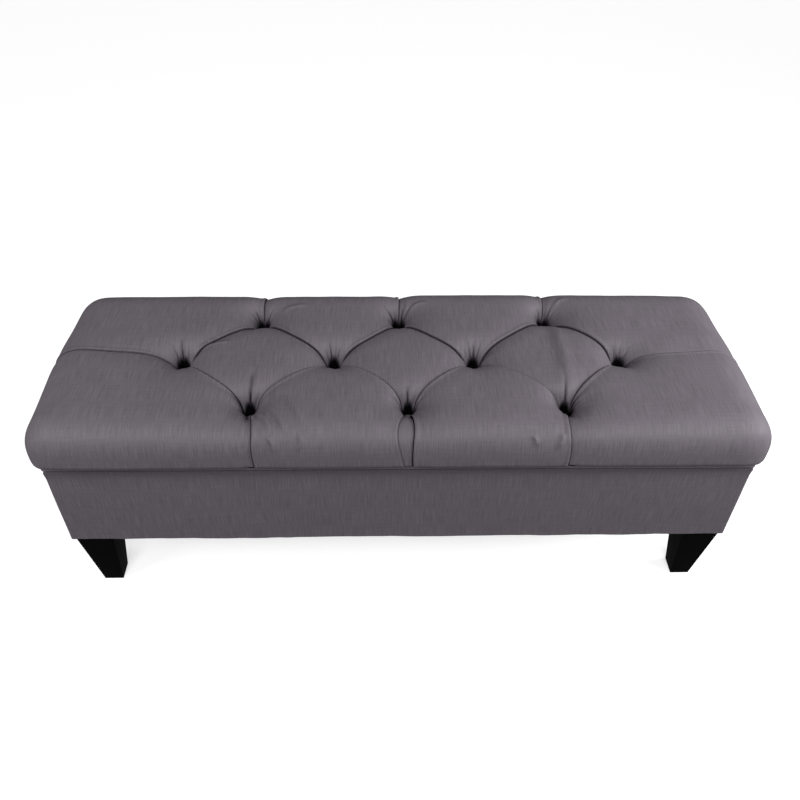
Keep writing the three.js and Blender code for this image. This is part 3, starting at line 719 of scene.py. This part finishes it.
def shape_cushion(q):
    """The tufted cushion: the place of each point of the sharp box, and the shade painted into the linen
    there.
    """
    place, normal, tilt = plain_cushion(q)
    height, shift, (painted_shade, crease_mm, weight) = tufting(unfold(q))
    s = -q[:, 2]
    hold = 1 - smoothstep(HEM_S - 0.012, HEM_S - 0.001, s)
    place += normal * (height * hold)[:, None]
    place[:, :2] += shift * (hold * np.cos(tilt))[:, None]
    on_end = (np.abs(overhang(q[:, 0], LID_X)[0]) >= 1) & (s > 0)
    along_side = np.where(on_end[:, None], (0, 1), (1, 0))  # down a side, only the shift along it counts
    place[:, :2] += shift * (hold * np.sin(tilt))[:, None] * along_side
    # Painted shade in the crevice over the hem strip and along the strip's lower edge.
    hem_groove_shade = np.maximum(bell(s - HEM_S - 0.0052, 0.0013) * 0.6, bell(s - HEM_S, 0.004) * 0.7)
    hem_groove_shade = np.maximum(hem_groove_shade, 0.8 * bell(s - STRIP_S, 0.0022))
    painted_shade = np.maximum(painted_shade * hold, hem_groove_shade)
    return place, {"fold": painted_shade, "crease": crease_mm, "crease_weight": weight * hold}


def cushion_uv(mesh, q):
    """Weave coordinates that follow the threads over the top and down each side."""
    loops, face_of, counts = loop_arrays(mesh)
    middle = np.zeros((len(counts), 3))
    np.add.at(middle, face_of, q[loops])
    middle = (middle / counts[:, None])[face_of]
    u, v, level = q[loops].T
    down = middle[:, 2] <= -1e-9
    over_y = down & (np.abs(middle[:, 1]) > LID_Y - 1e-6)
    v = np.where(over_y, np.sign(middle[:, 1]) * (LID_Y - level), v)
    u = np.where(down & ~over_y, np.sign(middle[:, 0]) * (LID_X - level), u)
    cloth_uv(mesh, np.stack([u, v], 1))


CUSHION_GRID = 0.0055
FINER_NEAR = ((0.012, 0.034), (0.006, 0.024), (0.0, 0.0155))  # distances to a pleat and to a button


def add_cushion():
    mesh = flat_cushion(CUSHION_GRID)
    refine(mesh, FINER_NEAR)
    q = positions(mesh)
    place, shade = shape_cushion(q)
    mesh.vertices.foreach_set("co", place.ravel())
    for key, values in shade.items():
        point_values(mesh, key, values)
    cushion_uv(mesh, q)
    set_smooth(mesh, 70)
    mesh.update()
    piece = new_object("tufted_seat_cushion", mesh, "upholstery", "lid", "lid_cover", "seat_foam")


def add_buttons():
    """Covered buttons: a domed face, a rounded edge and a short turned-in back."""
    outline = [(0.0, 0.0086), (0.003, 0.0084), (0.006, 0.0074), (0.0085, 0.0058), (0.0104, 0.0036),
               (0.0110, 0.0022), (0.0106, 0.0009), (0.0092, 0.0003), (0.006, 0.0003), (0.0, 0.0003)]
    around = 28
    for where, centre in BUTTONS.items():
        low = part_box(f"button_{where}")[0].z
        shape = bmesh.new()
        rings = []
        for r, z in outline:
            if r == 0:
                rings.append([shape.verts.new((centre.x, centre.y, low + z))] * around)
                continue
            turn = [2 * math.pi * k / around for k in range(around)]
            pucker = [1 + 0.012 * math.sin(9 * a + centre.x * 60) * (r > 0.01) for a in turn]
            spokes = [(r * p * math.cos(a), r * p * math.sin(a)) for a, p in zip(turn, pucker)]
            rings.append([shape.verts.new((centre.x + x, centre.y + y, low + z)) for x, y in spokes])
        for upper, lower in zip(rings, rings[1:]):
            for k in range(around):
                after = (k + 1) % around
                corners = [upper[k], lower[k], lower[after], upper[after]]
                shape.faces.new(list(dict.fromkeys(corners)))
        mesh = mesh_from(shape, "covered_button")
        box_mapped_uv(mesh)
        set_smooth(mesh)
        piece = new_object(f"covered_button_{where}", mesh, "upholstery", "lid", f"button_{where}")


# ---- the box's cover
def outline_loop(inset, radius, step):
    """Points round the box at one inset, counted the same for every inset, with their outward normals."""
    cells = [round(2 * (half - radius) / step) for half in (HALF_X, HALF_Y)]
    r = max(radius - inset, 0.0006)
    centre = np.array((HALF_X, HALF_Y)) - inset - r
    centres = [centre * sides for sides in ((1, 1), (-1, 1), (-1, -1), (1, -1))]
    points, normals = [], []
    for k, start in enumerate(centres):
        angles = [(k + i / 5) * math.pi / 2 for i in range(6)]
        turn = np.array([(math.cos(a), math.sin(a)) for a in angles])
        straight = np.linspace(start, centres[(k + 1) % 4], cells[k % 2] + 1)[1:-1]
        points += [*(start + r * turn), *(straight + r * turn[-1])]
        normals += [*turn] + [turn[-1]] * len(straight)
    return np.array(points), np.array(normals)


BOX_CORNER = 0.006  # corner radius of the box's cover and its lining, in plan


def cover_profile(low, high):
    """(inset, level) round the cover's section: up the outside, over the rim, down the inside and below."""
    inner = 0.0026
    outside = [(0.0035, low), (0.0012, low + 0.0006), (0.0002, low + 0.002)]
    outside += [(0.0004, low + 0.004 + k * (high - low - 0.034) / 22) for k in range(23)]
    rim = [(0.0004, -0.026), (0.0004, -0.018), (0.0005, -0.011), (0.0006, -0.005), (0.0010, -0.0013),
           (0.0022, 0.0006), (0.0042, 0.0012), (0.0185, 0), (0.0196, -0.0008), (0.0196, -0.0019),
           (inner, -0.0021)]
    turn = [(inner, 0.0021), (0.0255, 0.0019), (0.0255, 0.0002), (0.024, 0)]
    return outside + [(inset, high + z) for inset, z in rim] + [(inset, low + z) for inset, z in turn]


def add_box_cover():
    """Fabric over wadding, stretched round the box, rolled over the rim and turned in underneath."""
    low, high = BOX_LOW.z, BOX_HIGH.z
    profile = cover_profile(low, high)
    verts, shade = [], []
    for k, (inset, z) in enumerate(profile):
        points, normals = outline_loop(inset, BOX_CORNER, 0.008)
        level = np.full(len(points), z)
        along = points[:, 0] + points[:, 1] * 1.7
        share = np.clip((z - low) / (high - low), 0, 1)
        seen = 1.0 if inset < 0.02 and k < len(profile) - 6 else 0.0
        face_x, face_y = np.abs(points[:, 0]) / HALF_X, np.abs(points[:, 1]) / HALF_Y
        mid = np.where(np.abs(normals[:, 1]) > np.abs(normals[:, 0]), 1 - face_x ** 8, 1 - face_y ** 6)
        puff = 0.0010 * mid * math.sin(share * math.pi) + 0.0006 * noise_2d(along, level, 0.12, 7)
        puff += 0.0005 * noise_2d(along, level * 0.35, 0.022, 8) * (1 - share) ** 3
        puff += 0.0004 * noise_2d(along, level * 0.35, 0.03, 9) * share ** 3
        puff += 0.0024 * np.abs(normals[:, 0]) * bell(high - 0.006 - z, 0.006)  # rounder at each end's top
        sag = 0.0011 * noise_2d(along, level * 0, 0.05, 11) * (1 - smoothstep(0, 0.03, z - low))
        places = points + normals * (puff * seen)[:, None]
        verts += [(x, y, max(z + drop, low)) for (x, y), drop in zip(places, sag * seen)]
        # Painted shadow of the lid on the box's cloth, darkest at the rim and fading downwards.
        shade += [0.5 * seen * math.exp((z - high) / 0.011)] * len(points)
    mesh = mesh_of("box_cover_cloth", verts, bands(len(profile), len(points), closed=True))
    point_values(mesh, "fold", shade)
    box_mapped_uv(mesh)
    set_smooth(mesh, 50)
    piece = new_object("box_upholstery", mesh, "upholstery", "box", "box_cover")


# ---- linings
def add_flat_cloth(name, node, body, seed):
    """A stretched cloth with shallow wrinkles, as a thin closed plate."""
    low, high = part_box(node)
    step, thickness, rise = 0.012, 0.0007, 0.0004
    nx, ny = round((high.x - low.x) / step), round((high.y - low.y) / step)
    gx, gy = np.meshgrid(np.linspace(low.x, high.x, nx + 1), np.linspace(low.y, high.y, ny + 1))
    edge = np.minimum.reduce([gx - low.x, high.x - gx, gy - low.y, high.y - gy])
    wave = noise_2d(gx, gy * 2.5, 0.11, seed) * smoothstep(0, 0.06, edge)
    pull = noise_2d(gx + gy, gx * 0 + 1, 0.03, seed + 1) * (1 - smoothstep(0, 0.035, edge))
    wave = rise * (0.5 + 0.35 * wave + 0.3 * pull)
    levels = [low.z + wave, low.z + thickness + wave]
    verts = [(x, y, z) for level in levels for x, y, z in zip(gx.ravel(), gy.ravel(), level.ravel())]
    half = gx.size
    faces = []
    for cell in grid_cells(nx, ny):
        faces += [tuple(reversed(cell)), tuple(half + c for c in cell)]
    rim = grid_rim(nx, ny)
    faces += [(a, b, b + half, a + half) for a, b in zip(rim, rim[1:] + rim[:1])]
    mesh = mesh_of(name, verts, faces)
    set_smooth(mesh, 40)
    piece = new_object(name, mesh, "lining_cloth", body, node)


def add_storage_lining():
    """The cloth tray inside the box: a floor and four walls with soft corners."""
    low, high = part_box("box_lining")
    thick, corner = 0.0013, 0.008
    step, top = 0.014, high.z - 0.0002
    profile = [(0.0, low.z), (0.0, top), (thick, top)]
    profile += [(thick, high.z - 0.03 - k * 0.012) for k in range(10)]
    profile += [(thick + corner * (1 - math.cos(a)), low.z + thick + corner * (1 - math.sin(a)))
                for a in (math.radians(15 * k) for k in range(7))]
    verts = []
    for k, (inset, z) in enumerate(profile):
        span_x, span_y = high.x - inset, high.y - inset
        xs = np.linspace(BOX_CORNER - span_x, span_x - BOX_CORNER, round(2 * high.x / step))
        ys = np.linspace(BOX_CORNER - span_y, span_y - BOX_CORNER, round(2 * high.y / step))
        ring = np.array([(x, -span_y) for x in xs] + [(span_x, y) for y in ys]
                        + [(-x, span_y) for x in xs] + [(-span_x, -y) for y in ys])
        along = ring[:, 0] + 1.3 * ring[:, 1]
        ripple = 0.0009 * (0.5 + 0.5 * noise_2d(along, np.full(len(ring), z), 0.07, 21)) * (k > 3)
        pull = 1 - ripple / np.maximum(np.abs(ring).max(1), 0.1)
        verts += [(x, y, z) for x, y in ring * pull[:, None]]
    count = len(ring)
    faces = bands(len(profile), count)
    faces += [tuple(reversed(range(count))), tuple(range(len(verts) - count, len(verts)))]
    mesh = mesh_of("storage_lining", verts, faces)
    set_smooth(mesh, 40)
    piece = new_object("storage_lining", mesh, "lining_cloth", "box", "box_lining")


# ---- hard parts
def rounded_copy(node, name, body, width, segments=2):
    """A hard part with its flat faces made whole and its edges rounded, in place of its CAD node."""
    shape = bmesh.new()
    shape.from_mesh(NODES[node].data)
    bmesh.ops.remove_doubles(shape, verts=shape.verts, dist=1e-6)
    bmesh.ops.dissolve_limit(shape, angle_limit=math.radians(1), verts=shape.verts, edges=shape.edges)
    sharp = [e for e in shape.edges if len(e.link_faces) == 2 and e.calc_face_angle() > math.radians(25)]
    bmesh.ops.bevel(shape, geom=sharp, offset=width, segments=segments, profile=0.6, affect="EDGES",
                    clamp_overlap=True)
    mesh = mesh_from(shape, name)
    set_smooth(mesh, 30)
    return new_object(name, mesh, SLOT_OF[node], body, node)


def add_hard_parts():
    for corner in CORNERS:
        rounded_copy(f"leg_{corner}", f"tapered_leg_{corner}", "box", 0.0016, 3)
    for side in SIDES:
        rounded_copy(f"{side}_stay_housing", f"{side}_damper_housing", "box", 0.0008)
        for arm in ("lever", "link"):
            rounded_copy(f"{side}_stay_{arm}", f"{side}_damper_{arm}", f"{side}_stay_{arm}", 0.0005)
        rounded_copy(f"{side}_stay_lid_bracket", f"{side}_lid_bracket", "lid", 0.0004)
        rounded_copy(f"lid_buffer_{side}", f"lid_bumper_{side}", "box", 0.0006)


def add_heads(name, places, normal, radius, rise, body, slotted=True):
    """Domed heads of screws, with a cross recess, or of rivets, at places on a face with that normal."""
    around = 16
    rings = [(1, -0.2), (1, 0.15), (0.9, 0.6), (0.7, 0.88), (0.5, 0.97), (0.25, 1)]
    lift = 0 if slotted else 0.0004  # a rivet's head stays clear of the arm that turns on it
    tilt = Vector(normal).to_track_quat("Z", "Y").to_matrix().to_4x4()
    shape = bmesh.new()
    for place in places:
        seat = Matrix.Translation(Vector(place) + Vector(normal) * lift) @ tilt

        def at(r, k, z):
            turn = k * math.tau / around
            return seat @ Vector((r * radius * math.cos(turn), r * radius * math.sin(turn), z * rise))

        loops = []
        for n, (r, z) in enumerate(rings):
            sunk = [0.8 * (slotted and n > 3 and k % 4 == 0) for k in range(around)]
            loops.append([shape.verts.new(at(r, k, z - down)) for k, down in enumerate(sunk)])
        centre = shape.verts.new(at(0, 0, 0.2 if slotted else 1.02))
        shape.faces.new(reversed(loops[0]))
        for lower, upper in zip(loops, loops[1:] + [[centre] * around]):
            for k in range(around):
                after = (k + 1) % around
                shape.faces.new(dict.fromkeys((lower[k], lower[after], upper[after], upper[k])))
    mesh = mesh_from(shape, name)
    set_smooth(mesh, 40)
    new_object(name, mesh, "zinc_steel", body)


def add_staples(name, node, body):
    """The crowns of the staples along the edge of a cloth, on its lower side, clear of the legs."""
    low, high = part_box(node)
    inset, spacing, crown, wire = 0.007, 0.045, 0.0055, 0.0006
    places = []
    for along, span, edge in ((0, high.x - inset, high.y - inset), (1, high.y - inset, high.x - inset)):
        count = round(2 * span / spacing)
        for k in range(1, count):
            t = -span + 2 * span * k / count
            places += [(along, (t, side * edge) if along == 0 else (side * edge, t)) for side in (-1, 1)]
    shape = bmesh.new()
    for along, (x, y) in places:
        if body == "box" and abs(x) > HALF_X - 0.085 and abs(y) > HALF_Y - 0.085:
            continue
        size = (2 * crown, wire, wire) if along == 0 else (wire, 2 * crown, wire)
        at = Matrix.Translation((x, y, low.z + 0.0001))
        bmesh.ops.create_cube(shape, size=1, matrix=at @ Matrix.Diagonal((*size, 1)))
    new_object(name, mesh_from(shape, name), "zinc_steel", body)


HINGE_SCREW, PLATE_SCREW, BRACKET_SCREW = (0.0034, 0.0002), (0.003, 0.0014), (0.0036, 0.0014)  # radius, rise
RIVET = (0.0046, 0.0011)
LEAF = 0.00125  # thickness of a hinge leaf


def add_hinge_screws(side):
    low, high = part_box(f"{side}_hinge_box_leaf")
    middle, y = (low.x + high.x) / 2, low.y + 0.0095
    on_box = [(middle + k * 0.024, y, BOX_HIGH.z + LEAF + 0.0003) for k in (-1, 0, 1)]
    on_lid = [(middle + k * 0.012, y, LID_LOW.z - LEAF - 0.0003) for k in (-1, 1)]
    add_heads(f"{side}_hinge_box_screws", on_box, (0, 0, 1), *HINGE_SCREW, "box")
    add_heads(f"{side}_hinge_lid_screws", on_lid, (0, 0, -1), *HINGE_SCREW, "lid")


def add_stay_fixings(side, x):
    """The screws and rivet heads of the stay at the end of the bench where X has the sign x."""
    inner = lambda low, high: low.x if x > 0 else high.x
    inwards = (-x, 0, 0)

    def rivet(joint, place, body):
        add_heads(f"{side}_{joint}_rivet_head", [place], inwards, *RIVET, body, slotted=False)

    low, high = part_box(f"{side}_stay_housing")
    face, middle = inner(high, low) - x * 0.002, (low.z + high.z) / 2
    corners = [(face, y, middle + k * 0.0165) for y in (low.y + 0.006, high.y - 0.005) for k in (-1, 1)]
    add_heads(f"{side}_housing_screws", corners, inwards, *PLATE_SCREW, "box")
    pivot = Vector((inner(low, high), high.y - 0.020, middle))
    rivet("pivot", pivot, "box")
    lever = f"{side}_stay_lever"
    rivet("elbow", (inner(*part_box(lever)), pivot.y - 0.150, pivot.z - 0.018), lever)
    low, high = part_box(f"{side}_stay_lid_bracket")
    ear, middle = inner(low, high) + x * 0.026, (low.y + high.y) / 2
    rivet("bracket", (ear, middle, pivot.z + 0.105 - 0.018), "lid")
    feet = [(ear - x * 0.015, middle + k * 0.014, high.z - 0.002) for k in (-1, 1)]
    add_heads(f"{side}_bracket_screws", feet, (0, 0, -1), *BRACKET_SCREW, "lid")


def add_fixings():
    for side, x in SIDES.items():
        add_hinge_screws(side)
        add_stay_fixings(side, x)
    add_staples("lid_lining_staples", "lid_lining", "lid")
    add_staples("underside_cloth_staples", "bottom_dust_cloth", "box")


def dress_cad_nodes():
    """Every CAD node that is still shown gets its finish from its slot."""
    for name, node in NODES.items():
        node.data.materials.clear()
        node.data.materials.append(BY_SLOT[SLOT_OF[name]])


# ---- studio
SKY_POWER = 0.18
SKY_BELOW = 0.65  # the sky's share below the horizon
SUN = ((-0.02, -0.70, 0.80), 1.85, 22)  # direction it shines from, strength, width in degrees
BOXES = {  # soft boxes past the two ends: place, target, width, power
    "soft_box_right": ((1.45, -0.75, 1.25), (0.45, -0.05, 0.42), 0.6, 15.0),
    "soft_box_left": ((-1.5, -0.75, 1.2), (-0.5, -0.05, 0.42), 0.6, 10.0),
    "soft_box_end": ((2.0, 0.05, 0.95), (0.55, 0.0, 0.42), 0.6, 20.0),
}


def add_studio():
    """A plain pale floor that throws no light back, an even sky, a broad key light and three soft boxes."""
    size = 12
    corners = [(-size, -size, 0), (size, -size, 0), (size, size, 0), (-size, size, 0)]
    floor = link("floor", mesh_of("floor", corners, [(0, 1, 2, 3)]))
    floor.visible_diffuse = False
    floor.visible_glossy = False
    floor.data.materials.append(Finish("pale_floor").shade(
        Base_Color=(0.55, 0.55, 0.55, 1), Roughness=1.0, Specular_IOR_Level=0.0,
        Emission_Color=(1, 1, 1, 1), Emission_Strength=0.62))

    world = bpy.data.worlds.new("studio")
    bpy.context.scene.world = world
    world.use_nodes = True
    graph = Graph(world.node_tree)
    direction = graph.nodes.new("ShaderNodeTexCoord").outputs["Generated"]
    split = graph.node("ShaderNodeSeparateXYZ", Vector=direction)
    sky = graph.ramp(graph.plus(split.outputs["Z"], 0.5), (0.3, grey(SKY_BELOW)), (0.6, grey(1.0)))
    background = graph.nodes["Background"].inputs
    graph.feed(background["Color"], sky)
    graph.feed(background["Strength"], SKY_POWER)

    def lamp(name, kind, place, target, power):
        data = bpy.data.lights.new(name, kind)
        data.energy = power
        item = link(name, data)
        item.location = place
        item.rotation_euler = (Vector(place) - Vector(target)).to_track_quat("Z", "Y").to_euler()
        return data

    place, power, width = SUN
    lamp("key_light", "SUN", place, (0, 0, 0), power).angle = math.radians(width)
    for name, (place, target, width, power) in BOXES.items():
        lamp(name, "AREA", place, target, power).size = width


def add_camera():
    """A 36 mm wide sensor, looking down on the bench from the front."""
    data = bpy.data.cameras.new("camera")
    data.sensor_width, data.lens = 36, 35.377
    camera = link("camera", data)
    down, turn, roll = math.radians(41.91), math.radians(-2.024), math.radians(1.113)
    aim = Matrix.Rotation(turn, 4, "Z") @ Matrix.Rotation(math.pi / 2 - down, 4, "X")
    place = Matrix.Translation((-0.0398, -1.1427, 1.3488))
    camera.matrix_world = place @ aim @ Matrix.Rotation(roll, 4, "Z")
    bpy.context.scene.camera = camera


bpy.context.scene.view_settings.view_transform = "Standard"
add_camera()
add_studio()
dress_cad_nodes()
add_cushion()
add_buttons()
add_box_cover()
add_flat_cloth("lid_lining_cloth", "lid_lining", "lid", 31)
add_flat_cloth("underside_cloth", "bottom_dust_cloth", "box", 33)
add_storage_lining()
add_hard_parts()
add_fixings()
